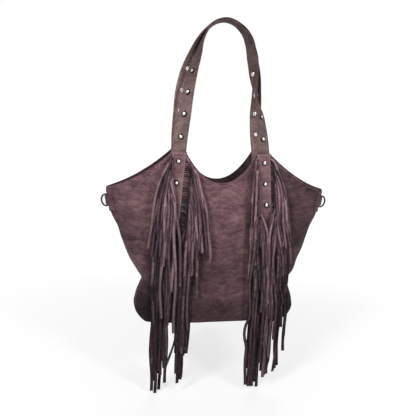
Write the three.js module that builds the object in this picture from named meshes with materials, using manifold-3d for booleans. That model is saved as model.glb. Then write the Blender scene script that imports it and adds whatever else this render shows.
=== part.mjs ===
// Fringed suede shoulder bag, hung by its two handles.
// Millimetres, +Z up, front towards -Y, symmetric about X = 0.
// It is built with the base at Z = 0 and then moved so that the origin is the underside of the
// inner handle at the top of its arch, where a hook or hand holds the bag.
import * as THREE from 'three';
import Module from 'manifold-3d';

const wasm = await Module();
wasm.setup();
const { Manifold, Mesh } = wasm;
const V3 = THREE.Vector3;

// Body
const MOUTH_HALF = 239;        // half width across the two top corners
const BODY_HEIGHT = 367;       // base to the two peaks that carry the handles
const CORNER_Z = 0.785 * BODY_HEIGHT;   // height of the top corners
const SCOOP_Z = 0.8256 * BODY_HEIGHT;   // lowest point of the mouth edge between the peaks
const BASE_DEPTH_HALF = 62;
const MOUTH_DEPTH_HALF = 28;
const BASE_EAR_RISE = 27;      // how far the pointed ends of the base turn up
const SUEDE = 1.8;             // thickness of one layer of suede
const BASE_THICK = 2.2;
const GAP = 0.3;               // clearance between separate pieces
const STRAP_GAP = 0.7;         // the same between a strap's end and its panel
const SEAM_GAP = 0.9;          // the same between the panels and the base
const TWIST_GAP = 0.8;         // the same under a stud on the turning part of a strap

// Handles
const STRAP_WIDTH = 28;
const STRAP_THICK = 2.8;
const HANDLE_HALF = 90;        // half distance between the two legs at the peaks
const HANDLE_RISE = 264;       // peaks to the top of the inner handle's centre line
const STRAP_TUCK = 79;         // length of strap inside the panel
const APEX_GAP = 0.6;          // between the two handles where they lie on each other

// Tabs and fringe
const TAB_WIDTH = 27;
const TAB_LENGTH = 161;
const TAB_LEAN = 0.08;         // outward drift per millimetre of drop
const STRIP_WIDTH = 5.2;
const STRIP_THICK = 1.1;
const STRIPS_SIDE = 11;        // strips along one straight edge of a tab
const STRIPS_END = 3;          // strips round half of a tab's rounded end
const LANE_OUTER = 52;         // how far the highest strip swings from the tab, outer side
const LANE_INNER = 62;         // the same on the inner side
const LAYER = 2.2;             // depth step between strips that pass in front of each other
const SHORT_END_Z = 0.485 * BODY_HEIGHT;  // where the highest strip ends
const FRINGE_DROP = 165;       // how far the lowest strip hangs below the base
const CASCADE_OUTER = 0.38;    // how soon the strips get long, outer side: lower is sooner
const CASCADE_INNER = 0.58;    // the same on the inner side

// Studs and rings
const STUD_R = 5.2;
const STUD_POST_R = 2;
const STUD_BACK_R = 4.4;
const RING_WIRE_R = 1.5;
const RING_HALF = 12.5;        // half length of the ring's straight side
const RING_REACH = 11;         // ring's centre line, outwards from the straight side
const RING_Z = CORNER_Z - 29;
const LOOP_HALF = 9;           // half height of the loop that holds the ring
const PATCH_Z = [52, 28, 4].map((v) => CORNER_Z - v);

const SCOOP_HALF = HANDLE_HALF - TAB_WIDTH / 2 + 0.5;
const PEAK_END = HANDLE_HALF + TAB_WIDTH / 2 + 0.5;
const TAB_RADIUS = TAB_WIDTH / 2;
const TAB_TOP = BODY_HEIGHT - 0.6;
const TAB_END = TAB_TOP - TAB_LENGTH + TAB_RADIUS;
const APEX_Z = BODY_HEIGHT + HANDLE_RISE;

// Smooth curve through a table of [position, value] pairs.
function curve(table) {
  const slope = table.map((row, i) => {
    const a = table[Math.max(0, i - 1)];
    const b = table[Math.min(table.length - 1, i + 1)];
    return (b[1] - a[1]) / (b[0] - a[0]);
  });
  return (p) => {
    const last = table.length - 1;
    if (p <= table[0][0]) return table[0][1];
    if (p >= table[last][0]) return table[last][1];
    let i = 0;
    while (p > table[i + 1][0]) i += 1;
    const h = table[i + 1][0] - table[i][0];
    const t = (p - table[i][0]) / h;
    const u = 1 - t;
    const ends = table[i][1] * u * u * (1 + 2 * t) + table[i + 1][1] * t * t * (1 + 2 * u);
    return ends + h * t * u * (slope[i] * u - slope[i + 1] * t);
  };
}

// Outline of the body: half width, half depth and how boxy it is, by share of the height.
const widthShare = curve([[0, 0.7615], [0.076, 0.7615], [0.177, 0.715], [0.232, 0.689], [0.283, 0.73],
  [0.341, 0.782], [0.409, 0.833], [0.485, 0.876], [0.559, 0.912], [0.635, 0.9645], [0.71, 0.982],
  [0.785, 1], [1, 1]]);
const depthShare = curve([[0, 1], [0.11, 1], [0.232, 0.88], [0.327, 0.84], [0.485, 0.68],
  [0.635, 0.46], [0.785, 0.2], [0.87, 0.08], [1, 0]]);
const roundness = curve([[0, 3.6], [0.12, 3.4], [0.232, 3], [0.485, 2.4], [0.635, 2], [1, 2]]);

const halfWidth = (z) => MOUTH_HALF * widthShare(z / BODY_HEIGHT);
const halfDepth = (z) => MOUTH_DEPTH_HALF
  + (BASE_DEPTH_HALF - MOUTH_DEPTH_HALF) * depthShare(z / BODY_HEIGHT);

// Depth of the outer face in front of or behind the middle plane.
function depthAt(x, z) {
  const n = roundness(z / BODY_HEIGHT);
  const s = Math.min(1, Math.abs(x) / halfWidth(z));
  return GAP / 2 + halfDepth(z) * (1 - s ** n) ** (1 / n);
}

// Outward unit normal of the front (side -1) or back (side 1) face.
function faceNormal(x, z, side) {
  const dx = (depthAt(x + 1, z) - depthAt(x - 1, z)) / 2;
  const dz = (depthAt(x, z + 1) - depthAt(x, z - 1)) / 2;
  return new V3(-dx, side, -dz).normalize();
}

// Point of a level outline at share s of the half width, moved outwards by an offset.
function outlinePoint(s, z, side, offset) {
  const w = halfWidth(z);
  const d = halfDepth(z);
  const n = roundness(z / BODY_HEIGHT);
  const q = Math.max(0, 1 - Math.abs(s) ** n) ** (1 / n);
  const nx = Math.sign(s) * Math.abs(s) ** (n - 1) / w;
  const ny = q ** (n - 1) / d;
  const len = Math.hypot(nx, ny);
  return new V3(w * s + offset * nx / len, side * (GAP / 2 + d * q + offset * ny / len), z);
}

function topEdge(x) {
  const a = Math.abs(x);
  if (a <= SCOOP_HALF) return SCOOP_Z + (BODY_HEIGHT - SCOOP_Z) * (a / SCOOP_HALF) ** 2.1;
  if (a <= PEAK_END) return BODY_HEIGHT;
  const t = Math.min(1, (a - PEAK_END) / (MOUTH_HALF - PEAK_END));
  return BODY_HEIGHT - (BODY_HEIGHT - CORNER_Z) * (1.28 * t - 0.28 * t * t);
}

// Underside of the base: flat, with the two ends turned up.
function baseZ(x) {
  const end = halfWidth(0);
  const flat = end * 0.74;
  const t = Math.max(0, (Math.abs(x) - flat) / (end - flat));
  return BASE_EAR_RISE * t * t;
}

// Closed geometry with its faces turned outwards.
function closed(points, faces) {
  let volume = 0;
  const c = new V3();
  for (const f of faces) {
    volume += points[f[0]].dot(c.crossVectors(points[f[1]], points[f[2]]));
  }
  const geometry = new THREE.BufferGeometry();
  geometry.setAttribute('position',
    new THREE.Float32BufferAttribute(points.flatMap((p) => p.toArray()), 3));
  geometry.setIndex(faces.flatMap((f) => (volume < 0 ? [f[0], f[2], f[1]] : f)));
  geometry.computeVertexNormals();
  return geometry;
}

// Solid through a row of sections with the same number of corners, capped at both ends.
function loft(sections) {
  const k = sections[0].length;
  const faces = [];
  for (let i = 0; i < sections.length - 1; i += 1) {
    for (let j = 0; j < k; j += 1) {
      const a = i * k + j;
      const b = i * k + (j + 1) % k;
      faces.push([a, b, b + k], [a, b + k, a + k]);
    }
  }
  const last = (sections.length - 1) * k;
  for (let j = 1; j < k - 1; j += 1) {
    faces.push([0, j + 1, j], [last, last + j, last + j + 1]);
  }
  return closed(sections.flat(), faces);
}

// Solid between an outer and an inner grid of points.
function shell(outer, inner) {
  const rows = outer.length;
  const cols = outer[0].length;
  const half = rows * cols;
  const faces = [];
  const quad = (a, b, c, d) => faces.push([a, b, c], [a, c, d]);
  for (let r = 0; r < rows - 1; r += 1) {
    for (let c = 0; c < cols - 1; c += 1) {
      const a = r * cols + c;
      quad(a, a + 1, a + cols + 1, a + cols);
      quad(half + a, half + a + cols, half + a + cols + 1, half + a + 1);
    }
  }
  for (let c = 0; c < cols - 1; c += 1) {
    const t = (rows - 1) * cols + c;
    quad(c + 1, c, half + c, half + c + 1);
    quad(t, t + 1, half + t + 1, half + t);
  }
  for (let r = 0; r < rows - 1; r += 1) {
    const l = r * cols;
    const m = l + cols - 1;
    quad(l, l + cols, half + l + cols, half + l);
    quad(m + cols, m, half + m, half + m + cols);
  }
  return closed([...outer.flat(), ...inner.flat()], faces);
}

function toSolid(geometry) {
  return new Manifold(new Mesh({
    numProp: 3,
    vertProperties: new Float32Array(geometry.attributes.position.array),
    triVerts: new Uint32Array(geometry.index.array),
  }));
}

function toGeometry(solid) {
  const mesh = solid.getMesh();
  const geometry = new THREE.BufferGeometry();
  geometry.setAttribute('position', new THREE.BufferAttribute(new Float32Array(mesh.vertProperties), 3));
  geometry.setIndex(new THREE.BufferAttribute(new Uint32Array(mesh.triVerts), 1));
  geometry.computeVertexNormals();
  return geometry;
}

const union = (list) => toGeometry(Manifold.union(list.map(toSolid)));
const cut = (geometry, tools) => toGeometry(
  toSolid(geometry).subtract(Manifold.union(tools.map(toSolid))));

// Circle of k points round a centre, square to an axis.
function circle(centre, axis, radius, k) {
  const turn = new THREE.Quaternion().setFromUnitVectors(new V3(0, 0, 1), axis);
  return Array.from({ length: k }, (_, i) => {
    const a = (i / k) * 2 * Math.PI;
    const p = new V3(radius * Math.cos(a), radius * Math.sin(a), 0);
    return p.applyQuaternion(turn).add(centre);
  });
}

// Every piece is one named mesh in the group.
const group = new THREE.Group();
const materials = {
  suede: new THREE.MeshStandardMaterial({ color: 0x6b5257, roughness: 0.95, metalness: 0 }),
  nickel: new THREE.MeshStandardMaterial({ color: 0xc9c9cc, roughness: 0.25, metalness: 1 }),
  gunmetal: new THREE.MeshStandardMaterial({ color: 0x34353a, roughness: 0.35, metalness: 1 }),
};
function add(name, geometry, material) {
  const mesh = new THREE.Mesh(geometry.translate(0, 0, STRAP_THICK / 2 - APEX_Z), materials[material]);
  mesh.name = name;
  group.add(mesh);
}

// A stud is a domed cap, a post and a flat back in one turned piece. It sits on a point with its axis
// outwards: its cap starts at height top and its back ends at height low.
function studPiece(point, axis, top, low) {
  const rows = [[low - 1.2, STUD_BACK_R - 0.5], [low, STUD_BACK_R], [low, STUD_POST_R],
    [top, STUD_POST_R], [top, STUD_R], [top + 1.5, STUD_R - 0.7], [top + 2.8, STUD_R * 0.45]];
  return loft(rows.map(([h, r]) => circle(point.clone().addScaledVector(axis, h), axis, r, 7)));
}
function studHole(point, axis) {
  const ends = [-12, 12].map((h) => point.clone().addScaledVector(axis, h));
  return loft(ends.map((p) => circle(p, axis, (STUD_POST_R + GAP) / Math.cos(Math.PI / 6), 6)));
}

// Tabs: straight suede strips with a rounded end, one below each peak of the front panel.
const tabX = (z) => HANDLE_HALF + TAB_LEAN * (BODY_HEIGHT - z);
const TAB_BACK = 2 * GAP + STRIP_THICK + 0.5;
const TAB_FACE = TAB_BACK + SUEDE;
const TAB_STUD_Z = [347, 302, 257].map((z) => z * BODY_HEIGHT / 367);

function tabGeometry(m) {
  const levels = [0, 0.2, 0.4, 0.6, 0.8, 1].map(
    (v) => TAB_TOP + (TAB_END - TAB_TOP) * v);
  const round = [25, 48, 67, 81].map((a) => TAB_END - TAB_RADIUS * Math.sin(a * Math.PI / 180));
  const grid = (off) => [...levels, ...round].map((z) => {
    const drop = Math.max(0, TAB_END - z);
    const half = Math.sqrt(TAB_RADIUS ** 2 - drop ** 2);
    return [-1, -0.4, 0.4, 1].map((c) => {
      const x = tabX(Math.max(z, TAB_END)) + c * half;
      return new V3(m * x, -(depthAt(x, z) + off), z);
    });
  });
  return shell(grid(TAB_FACE), grid(TAB_BACK));
}

// Studs that go through a panel, with what they hold: point on the face, axis, cap and back heights.
const STRAP_BACK = -(SUEDE + STRAP_GAP + STRAP_THICK);
const panelStuds = [];
for (const m of [-1, 1]) {
  const word = m < 0 ? 'left' : 'right';
  for (const side of [-1, 1]) {
    TAB_STUD_Z.forEach((z, i) => {
      if (side > 0 && i === 2) return;
      const x = m * tabX(z);
      panelStuds.push({
        name: `${word}_${side < 0 ? 'tab' : 'back'}_stud_${i + 1}`,
        m,
        side,
        point: new V3(x, side * depthAt(x, z), z),
        axis: faceNormal(x, z, side),
        top: (side < 0 ? TAB_FACE : 0) + GAP,
        low: (i === 2 ? -SUEDE : STRAP_BACK) - GAP,
      });
    });
  }
}
const holes = (list) => list.map((s) => studHole(s.point, s.axis));

// Front and back panels: curved sheets from the base to the shaped mouth edge.
const COLUMNS = [0, 0.11, 0.22, SCOOP_HALF / MOUTH_HALF, HANDLE_HALF / MOUTH_HALF,
  PEAK_END / MOUTH_HALF, 0.55, 0.66, 0.76, 0.84, 0.905, 0.95, 0.983, 1];
const SHARES = [...COLUMNS.slice(1).reverse().map((s) => -s), ...COLUMNS];
const LEVELS = [0.093, 0.18, 0.232, 0.283, 0.341, 0.409, 0.485, 0.559, 0.635].map(
  (v) => v * BODY_HEIGHT);

function panelGeometry(side) {
  const rows = [-1, ...LEVELS.keys(), 0.25, 0.5, 0.75, 1];
  const grid = (offset) => rows.map((key, r) => SHARES.map((s) => {
    const upper = LEVELS[LEVELS.length - 1];
    let z = key < 0 ? baseZ(halfWidth(0) * s) + BASE_THICK + SEAM_GAP : LEVELS[key];
    if (r > LEVELS.length) z = upper + (topEdge(MOUTH_HALF * s) - upper) * key;
    return outlinePoint(s, z, side, offset);
  }));
  return shell(grid(0), grid(-SUEDE));
}
for (const side of [-1, 1]) {
  const tools = holes(panelStuds.filter((s) => s.side === side));
  add(side < 0 ? 'front_panel' : 'back_panel', cut(panelGeometry(side), tools), 'suede');
}

// Base: a flat oval sheet with both ends turned up to meet the side seams.
const baseShares = SHARES.filter((s) => Math.abs(s) < 0.97);
const baseGrid = (rise) => baseShares.map((s) => [-1, -0.5, 0, 0.5, 1].map((q) => {
  const x = halfWidth(0) * s;
  return new V3(x, q * depthAt(x, 0), baseZ(x) + rise);
}));
add('base_panel', shell(baseGrid(BASE_THICK), baseGrid(0)), 'suede');

// Handles: each strap starts inside its panel, turns a quarter on the way up and lies flat at the top,
// the front handle below the back one. The legs hang unevenly: on the right the strap twists past edge-on.
// Rows: share of the rise, half width left and right, depth, turn in degrees left and right.
const LEG_FRONT = [[0.114, 0.969, 0.961, 0.976, 8, 18], [0.288, 0.897, 0.878, 0.894, 28, 45],
  [0.451, 0.826, 0.748, 0.73, 42, 80], [0.602, 0.731, 0.687, 0.55, 56, 115],
  [0.739, 0.62, 0.645, 0.325, 66, 130], [0.837, 0.545, 0.565, 0.163, 80, 112],
  [0.92, 0.42, 0.435, 0.06, 90, 98], [0.98, 0.222, 0.224, 0.012, 90, 91]];
const LEG_BACK = [[0.124, 1, 0.939, 0.976, 10, 20], [0.296, 0.994, 0.878, 0.894, 32, 45],
  [0.46, 0.967, 0.861, 0.73, 37, 62], [0.613, 0.875, 0.822, 0.55, 46, 75],
  [0.755, 0.71, 0.76, 0.325, 56, 83], [0.856, 0.6, 0.655, 0.163, 76, 88],
  [0.925, 0.455, 0.48, 0.06, 88, 90], [0.98, 0.235, 0.24, 0.012, 90, 90]];

// Straps wider than 28 mm need the back handle's legs further out, most of all halfway up.
const legSpread = (v) => 0.5 * (STRAP_WIDTH - 28) * Math.sin(Math.PI * v);

function handlePath(side) {
  const rise = HANDLE_RISE + (side < 0 ? 0 : STRAP_THICK + APEX_GAP);
  const inset = -(SUEDE + STRAP_GAP + STRAP_THICK / 2);
  const oneLeg = (m) => {
    const inside = [1, 0.68, 0.36, 0.02].map((v) => {
      const z = BODY_HEIGHT - v * STRAP_TUCK;
      const x = m * tabX(z);
      const p = new V3(x, side * depthAt(x, z), z).addScaledVector(faceNormal(x, z, side), inset);
      return { p, turn: 0 };
    });
    const start = inside[inside.length - 1].p;
    const leg = (side < 0 ? LEG_FRONT : LEG_BACK).map(([v, left, right, d, turnLeft, turnRight]) => ({
      p: new V3(
        m * ((m < 0 ? left : right) * HANDLE_HALF + (side < 0 ? 0 : legSpread(v))),
        d * start.y, BODY_HEIGHT + v * rise),
      turn: m < 0 ? turnLeft : turnRight,
    }));
    return [...inside, ...leg];
  };
  const all = [...oneLeg(-1), { p: new V3(0, 0, BODY_HEIGHT + rise), turn: 90 }, ...oneLeg(1).reverse()];
  const centre = new THREE.CatmullRomCurve3(all.map((k) => k.p), false, 'centripetal');
  const last = all.length - 1;
  const frame = (t) => {
    const i = Math.min(last - 1, Math.floor(t * last));
    const f = t * last - i;
    const turn = (all[i].turn * (1 - f) + all[i + 1].turn * f) * Math.PI / 180;
    const p = centre.getPoint(t);
    const tangent = centre.getTangent(t);
    const outward = new V3(-tangent.z, 0, tangent.x).normalize();
    const z = Math.min(p.z, BODY_HEIGHT - 1);
    const flat = faceNormal(Math.sign(p.x) * tabX(z), z, side);
    const normal = flat.multiplyScalar(Math.cos(turn)).addScaledVector(outward, Math.sin(turn));
    normal.addScaledVector(tangent, -normal.dot(tangent)).normalize();
    return { p, normal, width: new V3().crossVectors(tangent, normal) };
  };
  // Place on the left (m = -1) or right leg where the centre line is at height z.
  const atHeight = (z, m) => {
    let low = m < 0 ? 0 : 1;
    let high = 0.5;
    for (let k = 0; k < 40; k += 1) {
      const mid = (low + high) / 2;
      if (centre.getPoint(mid).z < z) low = mid;
      else high = mid;
    }
    return frame(low);
  };
  return { frame, atHeight, last };
}

const LEG_STUD_Z = { '-1': [397, 443, 487, 529], 1: [404, 449, 492, 536] };
const legShare = (z) => BODY_HEIGHT + (z - 367) * HANDLE_RISE / 264;
const legStuds = [];
for (const side of [-1, 1]) {
  const path = handlePath(side);
  const steps = path.last * 2;
  const grid = (b) => Array.from({ length: steps + 1 }, (_, i) => {
    const f = path.frame(i / steps);
    return [-1, -0.36, 0.36, 1].map((a) => f.p.clone()
      .addScaledVector(f.width, a * STRAP_WIDTH / 2).addScaledVector(f.normal, b * STRAP_THICK / 2));
  });
  const word = side < 0 ? 'front' : 'back';
  const studs = [];
  for (const m of [-1, 1]) {
    LEG_STUD_Z[side].forEach((z, i) => {
      const f = path.atHeight(legShare(z), m);
      const height = STRAP_THICK / 2 + TWIST_GAP;
      studs.push({
        name: `${word}_handle_stud_${m < 0 ? 'left' : 'right'}_${i + 1}`,
        point: f.p, axis: f.normal, top: height, low: -height,
      });
    });
  }
  const inPanel = panelStuds.filter((s) => s.side === side && s.low < -SUEDE - GAP - 0.1);
  add(`${word}_handle`, cut(shell(grid(1), grid(-1)), [...holes(studs), ...holes(inPanel)]), 'suede');
  legStuds.push(...studs);
}

for (const m of [-1, 1]) {
  const word = m < 0 ? 'left' : 'right';
  const through = panelStuds.filter((s) => s.side < 0 && s.m === m);
  add(`${word}_tab`, cut(tabGeometry(m), holes(through)), 'suede');
}

// Fringe: a comb of strips held under each edge of a tab. Its strips come out square to the edge, bend
// down and hang in three depth layers, shorter at the top and longest round the tab's end.
const STRIPS = STRIPS_SIDE + STRIPS_END;
const COMB_TOP = TAB_TOP - 14;
const sideLength = COMB_TOP - TAB_END;
const REST_Z = [0.42, 0.25, 0.1].map((v) => v * BODY_HEIGHT);
const mix = (a, b, t) => a + (b - a) * t;

// Place on a tab's edge line, at a distance from the tab's middle line.
function edgePlace(share, distance, sgn) {
  if (share <= 1) {
    const z = COMB_TOP - share * sideLength;
    return { x: tabX(z) + sgn * distance, z, nx: sgn, nz: 0 };
  }
  const a = (share - 1) * Math.PI / 2;
  return {
    x: tabX(TAB_END) + sgn * distance * Math.cos(a),
    z: TAB_END - distance * Math.sin(a),
    nx: sgn * Math.cos(a),
    nz: -Math.sin(a),
  };
}

// Flat band along places {x, z, y, lift}. It lies on the panel where lift is 0, and at depth y where
// lift is 1; its width is in the plane of the tab.
const FALL_GAP = 1.6 * BODY_HEIGHT / 367;   // hanging strips stand further off a taller wall
const headY = (x, z) => -(depthAt(x, z) + GAP * BODY_HEIGHT / 367 + (STRIP_THICK + 0.4) / 2);
function band(path, width, thick, m) {
  return loft(path.map((k, i) => {
    const a = path[Math.max(0, i - 1)];
    const b = path[Math.min(path.length - 1, i + 1)];
    const len = Math.hypot(b.x - a.x, b.z - a.z);
    const nx = -(b.z - a.z) / len;
    const nz = (b.x - a.x) / len;
    return [[-1, -1], [1, -1], [1, 1], [-1, 1]].map(([c, d]) => {
      const x = k.x + c * nx * width / 2;
      const z = k.z + c * nz * width / 2;
      const y = k.lift ? mix(headY(x, z), k.y, k.lift) : headY(x, z);
      return new V3(m * x, y + d * thick / 2, z);
    });
  }));
}

function stripPath(i, sgn) {
  const onSide = i < STRIPS_SIDE;
  const share = onSide ? i / (STRIPS_SIDE - 1) : 1 + 0.8 * (i - STRIPS_SIDE + 0.9) / STRIPS_END;
  const laneMax = sgn > 0 ? LANE_OUTER : LANE_INNER;
  const laneSide = mix(laneMax, TAB_RADIUS + 5.5, i / (STRIPS_SIDE - 1));
  const lane = onSide ? laneSide : 3.4 + (STRIPS - 1 - i) * 5.3;
  const inner = edgePlace(share, TAB_RADIUS - 4, sgn);
  const start = edgePlace(share, TAB_RADIUS + 1.6, sgn);
  const end = { x: tabX(TAB_END) + sgn * lane };
  const reach = Math.abs(end.x - start.x);
  end.z = start.z - Math.max(13, Math.min(100, reach * reach / 6));
  const pull = 0.55 * Math.max(reach, 5);
  const hang = 0.55 * (start.z - end.z);
  const lower = onSide ? start.z : start.z - 1;
  const depth = (z) => -(halfDepth(Math.max(z, 0)) + GAP / 2 + FALL_GAP + LAYER * (i % 3));
  const bend = new THREE.CubicBezierCurve3(
    new V3(start.x, 0, lower), new V3(start.x + start.nx * pull, 0, lower + start.nz * pull),
    new V3(end.x, 0, end.z + hang), new V3(end.x, 0, end.z));
  const path = [inner, start];
  for (const t of [0.22, 0.5, 1]) {
    const p = bend.getPoint(t);
    path.push({ x: p.x, z: p.z, y: depth(p.z), lift: Math.min(1, t / 0.5) });
  }
  const cascade = sgn > 0 ? CASCADE_OUTER : CASCADE_INNER;
  const tip = mix(SHORT_END_Z, -FRINGE_DROP, (i / (STRIPS - 1)) ** cascade);
  const stops = REST_Z.filter((z) => z < end.z - 8 && z > tip + 8);
  for (const z of [...stops, tip]) path.push({ x: end.x, z, y: depth(z), lift: 1 });
  return path;
}

for (const m of [-1, 1]) {
  for (const sgn of [1, -1]) {
    const head = [-0.03, 0.2, 0.4, 0.6, 0.8, 1, 1.3, 1.55, 1.8].map(
      (v) => edgePlace(v, TAB_RADIUS - 4, sgn));
    const parts = [band(head, 6, STRIP_THICK + 0.4, m)];
    for (let i = 0; i < STRIPS; i += 1) parts.push(band(stripPath(i, sgn), STRIP_WIDTH, STRIP_THICK, m));
    add(`${m < 0 ? 'left' : 'right'}_fringe_${sgn > 0 ? 'outer' : 'inner'}`, union(parts), 'suede');
  }
}

// Side patches fold round the top of each side seam; a loop on each holds a ring.
const PATCH_SHARES = [0.95, 0.983];
const PATCH_OFF = 0.5 * MOUTH_HALF / 239;
function aroundSeam(shares, z, offset, m) {
  const run = (side, list) => list.map((s) => outlinePoint(s, z, side, offset));
  const tip = new V3(halfWidth(z) + offset, 0, z);
  const points = [...run(-1, shares), tip, ...run(1, [...shares].reverse())];
  return points.map((p) => p.setX(m * p.x));
}

// Part of a convex outline, from its first to its last point, round the outside.
function outsideOf(points) {
  const turn = (o, a, b) => (a.x - o.x) * (b.y - o.y) - (a.y - o.y) * (b.x - o.x);
  const sorted = [...points].sort((a, b) => a.y - b.y || b.x - a.x);
  const chain = [];
  for (const p of sorted) {
    while (chain.length > 1 && turn(chain[chain.length - 2], chain[chain.length - 1], p) <= 0) chain.pop();
    chain.push(p);
  }
  return chain;
}

const ringBarX = halfWidth(RING_Z) + PATCH_OFF + SUEDE + 0.5 + RING_WIRE_R;
const ringLean = Math.atan((halfWidth(RING_Z + 9) - halfWidth(RING_Z - 9)) / 18);

function loopGeometry(m) {
  const seat = aroundSeam([0.958, 0.983], RING_Z, PATCH_OFF + SUEDE + 0.6, 1);
  const bar = circle(new V3(ringBarX, 0, RING_Z), new V3(0, 0, 1), RING_WIRE_R + 0.5, 16);
  const line = outsideOf([...seat, ...bar]);
  const sections = line.map((p, i) => {
    const a = line[Math.max(0, i - 1)];
    const b = line[Math.min(line.length - 1, i + 1)];
    const along = new V3(b.x - a.x, b.y - a.y, 0).normalize();
    const out = new V3(along.y, -along.x, 0);
    return [[0, -1], [1.5, -1], [1.5, 1], [0, 1]].map(([off, end]) => {
      const q = p.clone().addScaledVector(out, off);
      const z = RING_Z + end * LOOP_HALF;
      return new V3(m * (q.x + halfWidth(z) - halfWidth(RING_Z)), q.y, z);
    });
  });
  return loft(sections);
}

function ringGeometry(m) {
  const angles = Array.from({ length: 9 }, (_, i) => Math.PI / 2 - i * Math.PI / 8);
  const arc = angles.map((a) => [2 + (RING_REACH - 2) * Math.cos(a), RING_HALF * Math.sin(a)]);
  const path = [[0, RING_HALF], ...arc, [0, -RING_HALF]];
  const sections = path.map((k, i) => {
    const a = path[Math.max(0, i - 1)];
    const b = path[Math.min(path.length - 1, i + 1)];
    return circle(new V3(k[0], 0, k[1]), new V3(b[0] - a[0], 0, b[1] - a[1]).normalize(), RING_WIRE_R, 8);
  });
  const ends = [-1, 1].map((e) => new V3(0, 0, e * (RING_HALF + RING_WIRE_R)));
  const bar = loft(ends.map((p) => circle(p, new V3(0, 0, 1), RING_WIRE_R, 12)));
  const ring = union([bar, loft(sections)]);
  ring.rotateY(ringLean);
  if (m < 0) ring.rotateZ(Math.PI);
  return ring.translate(m * ringBarX, 0, RING_Z);
}

for (const m of [-1, 1]) {
  const word = m < 0 ? 'left' : 'right';
  const grid = (offset) => PATCH_Z.map((z) => aroundSeam(PATCH_SHARES, z, offset, m));
  add(`${word}_side_patch`, shell(grid(PATCH_OFF + SUEDE), grid(PATCH_OFF)), 'suede');
  add(`${word}_ring_loop`, loopGeometry(m), 'suede');
  add(`${word}_d_ring`, ringGeometry(m), 'gunmetal');
}

for (const s of [...panelStuds, ...legStuds]) {
  add(s.name, studPiece(s.point, s.axis, s.top, s.low), 'nickel');
}

export default group;
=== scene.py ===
import math
import random

import numpy

import bpy
from mathutils import Matrix, Vector, noise


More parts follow.
